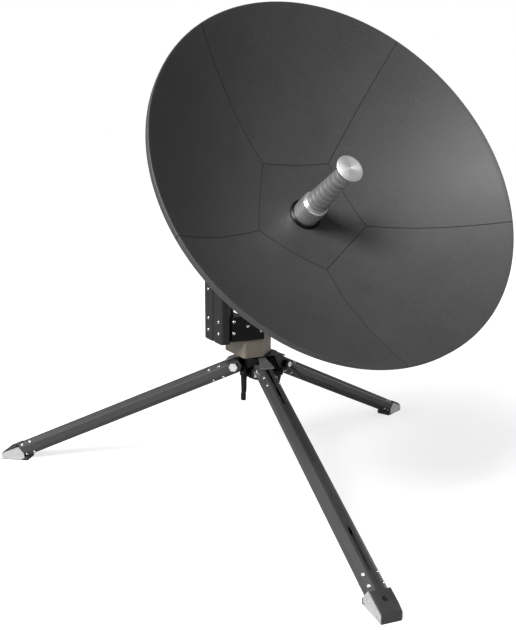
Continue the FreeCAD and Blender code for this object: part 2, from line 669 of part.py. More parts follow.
def front_plate():
    """The plate across the front of the housing and the left bracket."""
    x1 = HOUSING_RIGHT - HOUSING_CHAMFER
    return box(-UPRIGHT_INNER, x1, HOUSING_FRONT - PLATE_THICKNESS, HOUSING_FRONT, PLATE_BOTTOM, PLATE_TOP)


def yoke_screws():
    """The screws of the front plate and the uprights, with the shank in what they clamp."""
    left = -UPRIGHT_INNER + 7
    right = HOUSING_RIGHT - HOUSING_CHAMFER - 10
    plate_places = [(x, z) for x in (left, right) for z in SIDE_SCREW_Z]
    plate_places.append(((left + right) / 2, sum(SIDE_SCREW_Z) / 2))
    forwards = Rotation(UP, Vector(0, -1, 0))
    screws = []
    for x, z in plate_places:
        place = Placement(Vector(x, HOUSING_FRONT - PLATE_THICKNESS, z), forwards)
        screws.append(moved(button_screw(2.0), place))
    outer = UPRIGHT_INNER + UPRIGHT_WIDTH
    front_y, rear_y = UPRIGHT_SCREWS_Y
    for side in (1, -1):
        for y, heights in ((front_y, SIDE_SCREW_Z), (rear_y, SIDE_SCREW_Z + (600.0,))):
            for z in heights + (AXIS_Z + 22,):
                place = Placement(Vector(side * outer, y, z), Rotation(UP, Vector(side, 0, 0)))
                screws.append(moved(button_screw(2.0, 3.0, UPRIGHT_SCREW_HEAD, 3.3), place))
    return screws


def plain_bushes():
    """The bronze bushes of the azimuth spindle and of the elevation axle."""
    bore = SPINDLE_RADIUS + RUNNING
    outside = SPINDLE_RADIUS + BUSH_WALL
    lower = ring(outside, bore, HOUSING_BOTTOM - 7, HOUSING_BOTTOM + HOUSING_WALL + 4)
    upper = ring(outside, bore, UPPER_BUSH_Z, UPPER_BUSH_Z + UPPER_BUSH_HEIGHT)
    axle_bush = ring(AXLE_RADIUS + BUSH_WALL, AXLE_RADIUS + RUNNING, 0, SIDE_PLATE_THICKNESS)
    right = along_x(axle_bush, UPRIGHT_INNER - SIDE_PLATE_THICKNESS, 0, AXIS_Z)
    left = along_x(axle_bush, -UPRIGHT_INNER, 0, AXIS_Z)
    return [lower, upper, left, right]


def build_head():
    """The azimuth head: spindle, gears, housing and yoke."""
    collar_bottom = UPPER_BUSH_Z + UPPER_BUSH_HEIGHT + 0.4
    spindle = fuse([cylinder(SPINDLE_RADIUS, HUB_BOTTOM - 8, SPINDLE_TOP),
                    cylinder(22.0, HUB_BOTTOM - 14, HUB_BOTTOM - 8),
                    cylinder(SPINDLE_RADIUS + BUSH_WALL, collar_bottom, SPINDLE_TOP)])
    node("azimuth_spindle", spindle)
    gear = spur_gear(AZIMUTH_MODULE, AZIMUTH_TEETH, SPINDLE_RADIUS, 180.0 / AZIMUTH_TEETH)
    node("azimuth_gear", moved(gear, Placement(Vector(0, 0, AZIMUTH_GEAR_Z), Rotation())))

    bore = SPINDLE_RADIUS + BUSH_WALL
    underside = HOUSING_BOTTOM - TURNTABLE_THICKNESS
    turntable = fuse([ring(TURNTABLE_RADIUS, bore, underside, HOUSING_BOTTOM),
                      ring(TURNTABLE_STEP, bore, HUB_TOP + 0.5, underside)])
    screws = yoke_screws()
    holes = [crank_axis_hole(PINION_SHAFT_RADIUS + 2)]
    node("turntable", turntable)
    node("gear_housing", gear_housing())
    node("housing_lid", housing_lid())
    node("plain_bushes", *plain_bushes())
    node("uprights", *[cut_all(tube, screws + holes) for tube in uprights()])
    node("yoke_sides", *[cut_all(side, screws) for side in yoke_sides()])
    node("front_plate", cut_all(front_plate(), screws))
    node("yoke_screws", *screws)

    shaft = cylinder(PINION_SHAFT_RADIUS, HOUSING_BOTTOM + 4.3, KNOB_BOTTOM + 11, (0, AZIMUTH_CENTRES))
    pinion = spur_gear(AZIMUTH_MODULE, PINION_TEETH, PINION_SHAFT_RADIUS - 1)
    pinion = moved(pinion, Placement(Vector(0, AZIMUTH_CENTRES, AZIMUTH_GEAR_Z), Rotation()))
    node("azimuth_pinion", fuse([shaft, pinion]))
    node("azimuth_knob", azimuth_knob())
    build_elevation_drive()


def azimuth_knob():
    """The lobed hand knob on the azimuth pinion's shaft."""
    top = KNOB_BOTTOM + KNOB_HEIGHT
    flutes = []
    for lobe in range(KNOB_LOBES):
        angle = 2 * math.pi * lobe / KNOB_LOBES
        reach = KNOB_RADIUS + 1.5
        centre = (reach * math.cos(angle), AZIMUTH_CENTRES + reach * math.sin(angle))
        flutes.append(cylinder(5.0, KNOB_BOTTOM - 1, top + 1, centre))
    knob = cut_all(cylinder(KNOB_RADIUS, KNOB_BOTTOM, top, (0, AZIMUTH_CENTRES)), flutes)
    knob = knob.makeFillet(1.5, [e for e in knob.Edges if e.BoundBox.ZMin > top - 0.1])
    return knob.cut(cylinder(PINION_SHAFT_RADIUS, KNOB_BOTTOM - 1, KNOB_BOTTOM + 11, (0, AZIMUTH_CENTRES)))


def build_elevation_drive():
    """The pinion, its shaft and the folding-handle crank on the +X side."""
    z = AXIS_Z - ELEVATION_CENTRES
    gear_x = ARM_X + ARM_THICKNESS
    pinion = along_x_gear(spur_gear(ELEVATION_MODULE, PINION_TEETH, PINION_SHAFT_RADIUS - 1, 10.0), gear_x, z)
    shaft = along_x(cylinder(PINION_SHAFT_RADIUS, 0, CRANK_X + 10 - gear_x), gear_x, 0, z)
    node("elevation_pinion", fuse([pinion, shaft]))
    boss = cylinder(11.0, 0, 10)
    arm = box(-7, 7, -CRANK_LENGTH, 0, 0, 8)
    tip = cylinder(8.5, 0, 8, (0, -CRANK_LENGTH))
    grip = revolve([(0, 8), (5, 8), (8, 14), (9, 30), (7, 42), (0, 44)])
    grip = moved(grip, Placement(Vector(0, -CRANK_LENGTH, 0), Rotation()))
    crank = fuse([boss, arm, tip, grip]).cut(cylinder(PINION_SHAFT_RADIUS, -1, 10))
    node("elevation_crank", along_x_gear(crank, CRANK_X, z))


def along_x_gear(shape, x, z):
    """Place a shape drawn in plan so that its x becomes Y, its y becomes Z and its z becomes X."""
    swap = Rotation(Vector(0, 1, 0), Vector(0, 0, 1), Vector(1, 0, 0), "XYZ")
    return moved(shape, Placement(Vector(x, 0, z), swap))


# ---- reflector -------------------------------------------------------------------------------
def dish_frame():
    """From the reflector's axes (x right, y up across the dish, z along the boresight) to the world."""
    tilt = math.radians(DISH_ELEVATION)
    boresight = Vector(0, -math.cos(tilt), math.sin(tilt))
    across = Vector(0, math.sin(tilt), math.cos(tilt))
    vertex = Vector(0, 0, AXIS_Z) + boresight * BOOM
    return Placement(vertex, Rotation(Vector(1, 0, 0), across, boresight, "XYZ"))


def depth(radius):
    """Height of the reflecting surface above the vertex."""
    return radius ** 2 / (4 * FOCAL_LENGTH)


def parabola(offset, reach):
    """The curve of the reflecting surface, moved back by an offset, from the axis to a radius."""
    steps = 14
    points = [Vector(reach * i / steps, 0, depth(reach * i / steps) - offset) for i in range(steps + 1)]
    curve = Part.BSplineCurve()
    curve.interpolate(points)
    return curve.toShape(), points[0], points[-1]


def bowl(front, back, reach):
    """The solid of revolution between two offsets of the reflecting surface."""
    near, near_axis, near_rim = parabola(front, reach)
    far, far_axis, far_rim = parabola(back, reach)
    wire = Part.Wire([near, Part.makeLine(near_rim, far_rim), far, Part.makeLine(far_axis, near_axis)])
    return Part.Face(wire).revolve(Vector(0, 0, 0), UP, 360)


def seam_angle(index):
    """Angle of a seam in the reflector's own axes."""
    return FIRST_SEAM - index * 360.0 / PETALS


def pentagon(corner_radius, z0, z1):
    """A pentagonal prism whose corners lie on the seams."""
    points = [(corner_radius * math.cos(math.radians(seam_angle(i))),
               corner_radius * math.sin(math.radians(seam_angle(i))), z0) for i in range(PETALS)]
    return prism(points, (0, 0, z1 - z0))


def petal_sector(index):
    """Everything between a petal's two seams, half a gap inside each."""
    half = 180.0 / PETALS
    gap = SEAM_GAP / 2 / math.sin(math.radians(half))
    reach = 2 * DISH_DIAMETER
    corners = [(gap, 0, DEEP)]
    for side in (-1, 1):
        corners.append((gap + reach * math.cos(math.radians(half)),
                        side * reach * math.sin(math.radians(half)), DEEP))
    wedge = prism(corners, (0, 0, HIGH - DEEP))
    return moved(wedge, Placement(Vector(0, 0, 0), Rotation(UP, seam_angle(index) - half)))


def petal(index, skin, ribs_body, rim):
    """One petal: its skin, the turned-back rim and the ribs along its edges."""
    sector = petal_sector(index)
    core_gap = SEAM_GAP / math.cos(math.pi / PETALS)
    core = pentagon(CORE_RADIUS + core_gap, DEEP, HIGH)
    half = 180.0 / PETALS
    strips = []
    for side in (-1, 1):
        y0, y1 = sorted((0, -side * RIB_THICKNESS))
        strip = box(CORE_RADIUS - 30, RIB_END_RADIUS, y0, y1, DEEP, HIGH)
        turn = Rotation(UP, seam_angle(index) - half + side * half)
        strips.append(moved(strip, Placement(Vector(0, 0, 0), turn)))
    edge_ribs = [ribs_body.common(strip).common(sector).cut(core) for strip in strips]
    inner = pentagon(CORE_RADIUS + core_gap + RIB_THICKNESS / math.cos(math.pi / PETALS), LATCH_FLANGE, HIGH)
    inner_rib = inner.common(sector).cut(core).cut(bowl(-HIGH, SKIN / 2, RIM_RADIUS / 2))
    skin_part = skin.common(sector).cut(core)
    rim_part = rim.common(sector)
    whole = skin_part
    for piece in [rim_part, inner_rib] + edge_ribs:
        whole = whole.fuse(piece)
    return whole.removeSplitter()


def latch_frame(index):
    """From a latch's axes (x radial, z along the boresight) to the reflector's axes."""
    return Placement(Vector(0, 0, 0), Rotation(UP, seam_angle(index) - 180.0 / PETALS))


def latch_lugs(index):
    """The two lugs on the back of the centre panel that hold a latch's pin."""
    lugs = []
    for side in (1, -1):
        y0, y1 = sorted((side * (LATCH_HALF_WIDTH + 0.4), side * (LATCH_HALF_WIDTH + 5)))
        lug = box(LATCH_PIVOT - 7, LATCH_PIVOT + 7, y0, y1, LATCH_LEVEL - 5, depth(LATCH_PIVOT) - SKIN / 2)
        pin = rod_y(LATCH_PIN_RADIUS + RUNNING, y0 - 1, y1 + 1, LATCH_PIVOT, LATCH_LEVEL)
        lugs.append(moved(lug.cut(pin), latch_frame(index)))
    return lugs


def latch_lever(index):
    """A hook latch that draws one petal against the centre panel."""
    wide = LATCH_HALF_WIDTH
    rib_outside = APOTHEM + SEAM_GAP + RIB_THICKNESS
    bar = box(LATCH_PIVOT, LATCH_END, -wide, wide, LATCH_LEVEL - 3, LATCH_LEVEL + 3)
    bar = bar.makeFillet(7.0, [e for e in long_edges(bar, (0, 0, 1), 1) if e.BoundBox.XMin > LATCH_END - 1])
    barrel = rod_y(5.0, -wide, wide, LATCH_PIVOT, LATCH_LEVEL)
    hook = box(rib_outside + 0.6, rib_outside + 5, -wide, wide, LATCH_LEVEL, LATCH_FLANGE + 6)
    pin = rod_y(LATCH_PIN_RADIUS, -wide - 4.5, wide + 4.5, LATCH_PIVOT, LATCH_LEVEL)
    return moved(fuse([bar, barrel, hook, pin]), latch_frame(index))


def centre_panel(skin):
    """The pentagonal panel with the latch lugs and the hole for the feed."""
    panel = skin.common(pentagon(CORE_RADIUS, DEEP, HIGH))
    lugs = [lug for i in range(PETALS) for lug in latch_lugs(i)]
    return fuse([panel] + lugs).cut(cylinder(FEED_FLANGE_RADIUS - 8, DEEP, HIGH))


def hub_plate():
    """The plate and ring behind the centre panel that the cradle arms bolt to."""
    plate = cylinder(HUB_PLATE_RADIUS, HUB_PLATE_BACK, HUB_PLATE_BACK + HUB_PLATE_THICKNESS)
    wall = ring(HUB_PLATE_RADIUS, HUB_PLATE_RADIUS - HUB_RING_WIDTH, HUB_PLATE_BACK, depth(HUB_PLATE_RADIUS))
    wall = wall.cut(bowl(-HIGH, SKIN + 0.02, RIM_RADIUS / 2))
    return fuse([plate, wall]).cut(cylinder(FEED_NECK_RADIUS + 7, DEEP, HIGH))


def cradle_arms():
    """The two arms from the hub plate back to the elevation axle."""
    arms = []
    half = ARM_HALF_HEIGHT
    for side in (1, -1):
        x0, x1 = sorted((side * ARM_X, side * (ARM_X + ARM_THICKNESS)))
        bar = box(x0, x1, -half, half, -BOOM, HUB_PLATE_BACK)
        eye = rod_x(half + 4, x0, x1, 0, -BOOM)
        f0, f1 = sorted((side * (ARM_X - 18), side * ARM_X))
        flange = box(f0, f1, -half, half, HUB_PLATE_BACK - 8, HUB_PLATE_BACK)
        arm = fuse([bar, eye, flange])
        holes = [rod_x(12.0, x0 - 1, x1 + 1, 0, HUB_PLATE_BACK - back) for back in (55, 115, 175)]
        axle = rod_x(AXLE_RADIUS, x0 - 1, x1 + 1, 0, -BOOM)
        arms.append(cut_all(arm, holes + [axle]))
    return arms


def elevation_sector():
    """The toothed sector on the outside of the right cradle arm, in world axes."""
    gear = spur_gear(ELEVATION_MODULE, SECTOR_TEETH, AXLE_RADIUS)
    reach = 200.0
    corners = [(0, 0, -1)]
    for angle in (SECTOR_FIRST, (SECTOR_FIRST + SECTOR_LAST) / 2, SECTOR_LAST):
        corners.append((reach * math.cos(math.radians(angle)), reach * math.sin(math.radians(angle)), -1))
    wedge = prism(corners, (0, 0, GEAR_WIDTH + 2))
    hub = ring(26.0, AXLE_RADIUS, 0, GEAR_WIDTH)
    middle = math.radians((SECTOR_FIRST + SECTOR_LAST) / 2)
    windows = []
    for spread in (-0.42, 0.42):
        centre = (56 * math.cos(middle + spread), 56 * math.sin(middle + spread))
        windows.append(cylinder(13.0, -1, GEAR_WIDTH + 1, centre))
    shape = cut_all(fuse([gear.common(wedge), hub]), windows)
    return along_x_gear(shape, ARM_X + ARM_THICKNESS, AXIS_Z)


def build_reflector():
    """The reflector, its backing and the parts that tilt with it."""
    place = dish_frame()
    reach = RIM_RADIUS
    skin = bowl(0, SKIN, reach)
    ribs_body = bowl(SKIN / 2, SKIN + RIB_DEPTH, reach - 10)
    rim = ring(reach, reach - RIM_WALL, depth(reach) - RIM_LIP, depth(reach) - SKIN / 2)
    node("centre_panel", moved(centre_panel(skin), place))
    for index in range(PETALS):
        node("petal_%d" % (index + 1), moved(petal(index, skin, ribs_body, rim), place))
        node("latch_%d" % (index + 1), moved(latch_lever(index), place))
    node("hub_plate", moved(hub_plate(), place))
    node("cradle_arms", *[moved(arm, place) for arm in cradle_arms()])
    node("elevation_sector", elevation_sector())
    axle_end = UPRIGHT_INNER - 0.5
    node("elevation_axle", along_x(cylinder(AXLE_RADIUS, 0, 2 * axle_end), -axle_end, 0, AXIS_Z))


# ---- feed ------------------------------------------------------------------------------------
def horn_profile():
    """The stepped outline of the horn: each rib bulges a little between two grooves."""
    length = HORN_END - COLLAR_END
    pitch = length / HORN_RIBS
    points = [(WAVEGUIDE_RADIUS, COLLAR_END)]
    for rib in range(HORN_RIBS):
        for part, bulge in ((0.0, -1.6), (0.14, -1.6), (0.22, 0.0), (0.6, 0.5), (0.98, 0.0)):
            z = COLLAR_END + (rib + part) * pitch
            taper = HORN_START_RADIUS + (HORN_END_RADIUS - HORN_START_RADIUS) * (rib + part) / HORN_RIBS
            points.append((taper + bulge, z))
    points += [(HORN_END_RADIUS - 2.5, HORN_END), (WAVEGUIDE_RADIUS, HORN_END)]
    return points


def feed_flange():
    """The ring on the front of the centre panel that the feed turns in."""
    bore = FEED_NECK_RADIUS + RUNNING
    neck = FEED_FLANGE_RADIUS - 8
    front = FEED_FLANGE_FRONT
    body = revolve([(bore, -SKIN - 8), (neck, -SKIN - 8), (neck, 0), (FEED_FLANGE_RADIUS, 0),
                    (FEED_FLANGE_RADIUS, front - 3), (FEED_FLANGE_RADIUS - 4, front), (bore, front)])
    skin_hole = bowl(-0.02, SKIN + 0.02, RIM_RADIUS / 2).cut(cylinder(neck, DEEP, HIGH))
    return body.cut(skin_hole)


def feed_collar():
    """The bright collar of the feed and the neck that passes through the reflector."""
    neck = FEED_NECK_RADIUS
    rim = COLLAR_RADIUS
    return revolve([(WAVEGUIDE_RADIUS, FEED_BACK), (neck, FEED_BACK), (neck, 13.0), (neck - 2, 14.0),
                    (neck - 2, COLLAR_START), (rim - 1.5, COLLAR_START), (rim, COLLAR_START + 1.5),
                    (rim, COLLAR_END - 3), (rim - 3, COLLAR_END), (WAVEGUIDE_RADIUS, COLLAR_END)])


def subreflector():
    """The splash plate: a thin, slightly conical disc."""
    front = SUBREFLECTOR_FRONT
    rim = SUBREFLECTOR_RADIUS
    return revolve([(0, HORN_END), (HORN_END_RADIUS - 3, HORN_END), (rim - 1, front - 4.5),
                    (rim, front - 3.5), (rim, front - 1.5), (rim - 1, front - 0.8), (3, front), (0, front)])


def orthomode_transducer():
    """The waveguide block behind the reflector, with a square flange for a transmitter."""
    body = box(-OMT_HALF, OMT_HALF, -OMT_HALF, OMT_HALF, OMT_BACK, FEED_BACK)
    body = body.makeFillet(3.0, long_edges(body, (0, 0, 1), 10))
    neck = box(0, PORT_X - 5, -12, 12, PORT_Z - 16, PORT_Z + 16)
    flange = box(PORT_X - 6, PORT_X, -FLANGE_HALF, FLANGE_HALF, PORT_Z - FLANGE_HALF, PORT_Z + FLANGE_HALF)
    guide = box(0, PORT_X + 1, -PORT_HALF_WIDTH, PORT_HALF_WIDTH, PORT_Z - PORT_HALF_HEIGHT,
                PORT_Z + PORT_HALF_HEIGHT)
    holes = []
    for y in (-FLANGE_HOLE_X, FLANGE_HOLE_X):
        for z in (PORT_Z - FLANGE_HOLE_Y, PORT_Z + FLANGE_HOLE_Y):
            holes.append(rod_x(FLANGE_HOLE_RADIUS, PORT_X - 7, PORT_X + 1, y, z))
    bore = cylinder(WAVEGUIDE_RADIUS, OMT_BACK, FEED_BACK)
    return cut_all(fuse([body, neck, flange]), [bore, guide] + holes)


def lnb():
    """The low-noise receiver on the end of the waveguide block, with its output socket."""
    wide = LNB_RADIUS
    can = revolve([(0, LNB_BACK), (wide - 2, LNB_BACK), (wide, LNB_BACK + 2), (wide, OMT_BACK - 10),
                   (wide - 6, OMT_BACK - 6), (wide - 6, OMT_BACK), (0, OMT_BACK)])
    for fin in range(LNB_FINS):
        z = LNB_BACK + 16 + 12 * fin
        can = can.cut(ring(wide + 1, wide - 2.5, z, z + 5))
    socket = rod_y(SOCKET_RADIUS, -wide - SOCKET_LENGTH, 4 - wide, 0, LNB_BACK + SOCKET_INSET)
    return fuse([can, socket])


def build_feed():
    """The feed, which turns in the reflector to set the polarisation."""
    place = dish_frame()
    node("feed_flange", moved(feed_flange(), place))
    node("feed_collar", moved(feed_collar(), place))
    node("feed_horn", moved(revolve(horn_profile()), place))
    node("subreflector", moved(subreflector(), place))
    node("orthomode_transducer", moved(orthomode_transducer(), place))
    node("lnb", moved(lnb(), place))


def centre_on_ground():
    """Move every node along the ground, to put the origin under the middle of the overall box."""
    whole = Part.makeCompound(list(NODES.values())).optimalBoundingBox(False, False)
    shift = Placement(Vector(-whole.Center.x, -whole.Center.y, 0), Rotation())
    for name, shape in NODES.items():
        NODES[name] = moved(shape, shift)


def export_nodes():
    """Write one STEP file per node."""
    os.makedirs("parts", exist_ok=True)
    for name, shape in NODES.items():
        shape.exportStep("parts/%s.step" % name)


build_tripod()
build_head()
build_reflector()
build_feed()
centre_on_ground()
export_nodes()
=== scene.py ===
"""Looks of the portable satellite antenna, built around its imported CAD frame.

Units are metres, +Z is up.  Places come from the frame: the joints give the axes of the reflector,
of the feed and of the legs, and the CAD nodes keep their shapes unless a finer piece replaces them.
"""
import json
import math

import bmesh
import bpy
from mathutils import Matrix, Vector


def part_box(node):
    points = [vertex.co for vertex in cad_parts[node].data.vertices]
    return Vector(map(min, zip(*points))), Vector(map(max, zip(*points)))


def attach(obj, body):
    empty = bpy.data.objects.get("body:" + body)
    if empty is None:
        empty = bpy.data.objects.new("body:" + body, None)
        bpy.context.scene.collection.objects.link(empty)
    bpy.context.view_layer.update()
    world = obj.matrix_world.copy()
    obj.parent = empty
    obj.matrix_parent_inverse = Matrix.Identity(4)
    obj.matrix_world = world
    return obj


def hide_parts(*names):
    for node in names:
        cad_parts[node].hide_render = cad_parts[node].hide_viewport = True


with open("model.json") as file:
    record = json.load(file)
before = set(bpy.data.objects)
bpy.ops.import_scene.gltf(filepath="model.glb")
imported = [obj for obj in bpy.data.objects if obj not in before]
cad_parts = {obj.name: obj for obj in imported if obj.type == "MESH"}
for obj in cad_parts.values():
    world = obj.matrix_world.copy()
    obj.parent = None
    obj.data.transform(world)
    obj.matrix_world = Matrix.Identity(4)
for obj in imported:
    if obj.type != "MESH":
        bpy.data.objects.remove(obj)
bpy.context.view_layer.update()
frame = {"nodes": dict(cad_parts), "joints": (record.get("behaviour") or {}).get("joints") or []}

MM = 0.001
LEGS = ("left", "front", "right")
PETALS = 5
JOINTS = {joint["name"]: joint for joint in frame["joints"]}


# ---- places taken from the frame -------------------------------------------------------------
def axes_at(origin, x_axis, z_axis):
    """A matrix whose x and z columns are the given directions."""
    z = Vector(z_axis).normalized()
    y = z.cross(Vector(x_axis)).normalized()
    x = y.cross(z)
    matrix = Matrix((x, y, z)).transposed().to_4x4()
    matrix.translation = Vector(origin)
    return matrix


def joint_place(name):
    """Position and direction of a joint."""
    joint = JOINTS[name]
    return Vector(joint["pos_m"]), Vector(joint["axis"])


AZIMUTH = joint_place("azimuth_turn")[0] * Vector((1, 1, 0))
VERTEX, BORESIGHT = joint_place("polarization_turn")
DISH = axes_at(VERTEX, (1, 0, 0), BORESIGHT)


def local_box(node, place):
    """Lowest and highest corners of a CAD node, seen from a frame."""
    inverse = place.inverted()
    corners = [inverse @ vertex.co for vertex in frame["nodes"][node].data.vertices]
    low = Vector([min(c[axis] for c in corners) for axis in range(3)])
    high = Vector([max(c[axis] for c in corners) for axis in range(3)])
    return low, high


# ---- sizes of the reflector ------------------------------------------------------------------
SKIN = 5.0 * MM
LIP_DEPTH = 21.0 * MM
LIP_WALL = 4.0 * MM
LIP_ROUND = 2.0 * MM
LIP_EASE = 1.4 * MM               # rounding of the lip's free edge
LIP_HEEL = 5.0 * MM               # fillet between the lip and the back of the skin
SEAM_GAP = 0.6 * MM
FIRST_SEAM = math.radians(126.0)  # from the x axis of the reflector
SECTOR = math.tau / PETALS
RIB_WIDTH = 6.0 * MM
RIB_DEPTH = 17.0 * MM
RIB_END = 470.0 * MM              # from the axis of the reflector
FLANGE_LEVEL = 1.0 * MM           # lower edge of the inner ribs, over the vertex

RIM = local_box("petal_2", DISH)[1].x
FOCAL = RIM ** 2 / (4 * local_box("petal_1", DISH)[1].z)
CORE = -local_box("centre_panel", DISH)[0].y      # a corner of the pentagon points to -Y
APOTHEM = CORE * math.cos(SECTOR / 2)


# ---- materials -------------------------------------------------------------------------------
REFLECTOR_PITCH = 2.4 * MM        # of the tows in the cloth
TUBE_PITCH = 2.0 * MM
PETAL_CLOTH_TURN = 45.0           # degrees
CENTRE_CLOTH_TURN = 30.0
TUBE_CLOTH_TURN = 45.0
REFLECTOR_SHADE = 0.030
LEG_SHADE = 0.026
COLUMN_SHADE = 0.006
JOINT_WIDTH = 2.2 * MM            # of the dark line on each side of a seam
TOW_HEIGHT = 0.10 * MM
SPECKLE_HEIGHT = 0.08 * MM


class Graph:
    """The node tree of one material."""

    def __init__(self, name):
        self.material = bpy.data.materials.new(name)
        self.material.use_nodes = True
        self.tree = self.material.node_tree
        self.shader = self.tree.nodes["Principled BSDF"]

    def add(self, kind, inputs=None, **settings):
        """A node with its settings, its inputs given as values or as sockets to join."""
        node = self.tree.nodes.new(kind)
        for key, value in settings.items():
            setattr(node, key, value)
        for key, value in (inputs or {}).items():
            self.put(node.inputs[key], value)
        return node

    def put(self, socket, value):
        """Join a socket, or set an unjoined one."""
        if isinstance(value, bpy.types.NodeSocket):
            self.tree.links.new(value, socket)
        else:
            socket.default_value = value

    def math(self, operation, *values):
        """One arithmetic step."""
        node = self.add("ShaderNodeMath", operation=operation)
        for socket, value in zip(node.inputs, values):
            self.put(socket, value)
        return node.outputs[0]

    def plus(self, first, second):
        """The sum of two values."""
        return self.math("ADD", first, second)

    def times(self, first, second):
        """The product of two values."""
        return self.math("MULTIPLY", first, second)

    def vectors(self, operation, first, second):
        """One arithmetic step on vectors; a scalar result is the socket called Value."""
        return self.add("ShaderNodeVectorMath", {0: first, 1: second}, operation=operation).outputs

    def place(self, matrix=None, stretch=(1, 1, 1)):
        """Object coordinates seen from a frame, stretched along its axes."""
        source = self.add("ShaderNodeTexCoord").outputs["Object"]
        matrix = (matrix or Matrix.Identity(4)).inverted()
        turned = self.add("ShaderNodeMapping", {"Vector": source, "Location": matrix.translation,
                                                "Rotation": matrix.to_euler()})
        return self.add("ShaderNodeMapping", {"Vector": turned.outputs[0], "Scale": stretch}).outputs[0]

    def split(self, vector):
        """The x, y and z of a vector."""
        return self.add("ShaderNodeSeparateXYZ", {0: vector}).outputs

    def noise(self, vector, scale, detail, roughness):
        """Fractal noise from 0 to 1."""
        return self.add("ShaderNodeTexNoise", {"Vector": vector, "Scale": scale, "Detail": detail,
                                               "Roughness": roughness}).outputs["Fac"]

    def span(self, value, low, high, to_low=0.0, to_high=1.0):
        """A value rescaled and held between two limits."""
        return self.add("ShaderNodeMapRange", {"Value": value, "From Min": low, "From Max": high,
                                               "To Min": to_low, "To Max": to_high}).outputs[0]

    def blend(self, factor, first, second):
        """A colour between two others."""
        node = self.add("ShaderNodeMix", data_type="RGBA")
        self.put(node.inputs["Factor"], factor)
        self.put(node.inputs["A"], colour(first))
        self.put(node.inputs["B"], colour(second))
        return node.outputs["Result"]

    def bump(self, height, distance, strength, normal):
        """A normal raised by a height, whose unit is the distance in metres."""
        return self.add("ShaderNodeBump", {"Height": height, "Distance": distance, "Strength": strength,
                                           "Normal": normal}).outputs[0]

    def away_from_axis(self, place):
        """The direction across lathe marks made about a frame's z axis, in world space."""
        source = self.add("ShaderNodeTexCoord").outputs["Object"]
        arm = self.vectors("SUBTRACT", source, place.translation)[0]
        marks = self.vectors("CROSS_PRODUCT", place.to_3x3().col[2], arm)[0]
        world = self.add("ShaderNodeVectorTransform", {0: marks}, vector_type="VECTOR",
                         convert_from="OBJECT", convert_to="WORLD").outputs[0]
        normal = self.add("ShaderNodeNewGeometry").outputs["Normal"]
        return self.vectors("CROSS_PRODUCT", normal, world)[0]

    def rounded(self, radius):
        """A normal that rounds sharp edges, and how much of an edge a point is."""
        bevel = self.add("ShaderNodeBevel", {"Radius": radius}, samples=4).outputs[0]
        true = self.add("ShaderNodeNewGeometry").outputs["Normal"]
        dot = self.vectors("DOT_PRODUCT", bevel, true)["Value"]
        return bevel, self.span(dot, 0.995, 0.80)

    def finish(self, **inputs):
        """Set the shader's inputs by name, with _ for a space."""
        for key, value in inputs.items():
            socket = self.shader.inputs[key.replace("_", " ")]
            self.put(socket, colour(value) if socket.type == "RGBA" else value)
        return self.material


def colour(value):
    """A grey level or an RGB triple as RGBA; sockets pass through."""
    if isinstance(value, (int, float)):
        return (value, value, value, 1.0)
    if isinstance(value, tuple) and len(value) == 3:
        return value + (1.0,)
    return value


def weave(graph, place, pitch):
    """Twill cloth: the height of the tows, and which of the two directions lies on top."""
    x, y, _ = graph.split(graph.vectors("MULTIPLY", place, (1 / pitch,) * 3)[0])
    across = graph.math("ABSOLUTE", graph.math("SINE", graph.times(x, math.pi)))
    along = graph.math("ABSOLUTE", graph.math("SINE", graph.times(y, math.pi)))
    steps = graph.plus(graph.math("FLOOR", x), graph.math("FLOOR", y))
    on_top = graph.math("LESS_THAN", graph.math("FLOORED_MODULO", steps, 4.0), 2.0)
    height = graph.add("ShaderNodeMix", {"Factor": on_top, "A": across, "B": along}).outputs["Result"]
    return height, on_top


def near_edge(graph, vector, sides, width):
    """From 0 to 1 within a width of any straight edge; a side is an inward direction and an offset."""
    nearest = 1.0
    for direction, offset in sides:
        inside = graph.vectors("DOT_PRODUCT", vector, direction)["Value"]
        nearest = graph.math("MINIMUM", nearest, graph.plus(inside, offset))
    return graph.span(nearest, width, 0.4 * width)


def carbon(name, place, shade, pitch, turn, roughness, grain, sides=()):
    """Matt carbon cloth: twill, soft cloudy resin, grain, paler edges and dark straight joints."""
    graph = Graph(name)
    own = graph.place(place)
    vector = graph.place(place @ Matrix.Rotation(math.radians(turn), 4, "Z"))
    height, on_top = weave(graph, vector, pitch)
    clouds = graph.noise(vector, 7.0, 5.0, 0.6)
    speckle = graph.noise(vector, 420.0, 3.0, 0.7)
    normal, edge = graph.rounded(0.8 * MM)
    base = graph.blend(graph.span(clouds, 0.3, 0.7), shade * 0.86, shade * 1.14)
    base = graph.blend(graph.times(on_top, 0.35), base, shade * 1.5)
    grains = graph.times(graph.span(speckle, 0.45, 0.7), 0.6 * grain)
    base = graph.blend(grains, base, shade * 2.8)
    base = graph.blend(graph.times(edge, 0.1), base, shade * 3.0)
    mottle = graph.plus(clouds, graph.times(speckle, 0.4))
    rough = graph.span(mottle, 0.4, 1.0, roughness - 0.05, roughness + 0.08)
    if sides:
        joint = near_edge(graph, own, sides, JOINT_WIDTH)
        base = graph.blend(graph.times(joint, 0.7), base, shade * 0.3)
        rough = graph.plus(rough, graph.times(joint, 0.3))
    woven = graph.bump(height, TOW_HEIGHT, 0.8, normal)
    return graph.finish(Base_Color=base, Roughness=rough, Specular_IOR_Level=0.45,
                        Normal=graph.bump(speckle, SPECKLE_HEIGHT, 0.7, woven))


def reflector_skin(name, place, turn, sides):
    """The reflector's carbon cloth, laid at an angle, with dark joints to its neighbours."""
    return carbon(name, place, REFLECTOR_SHADE, REFLECTOR_PITCH, turn, 0.5, 1.0, sides)


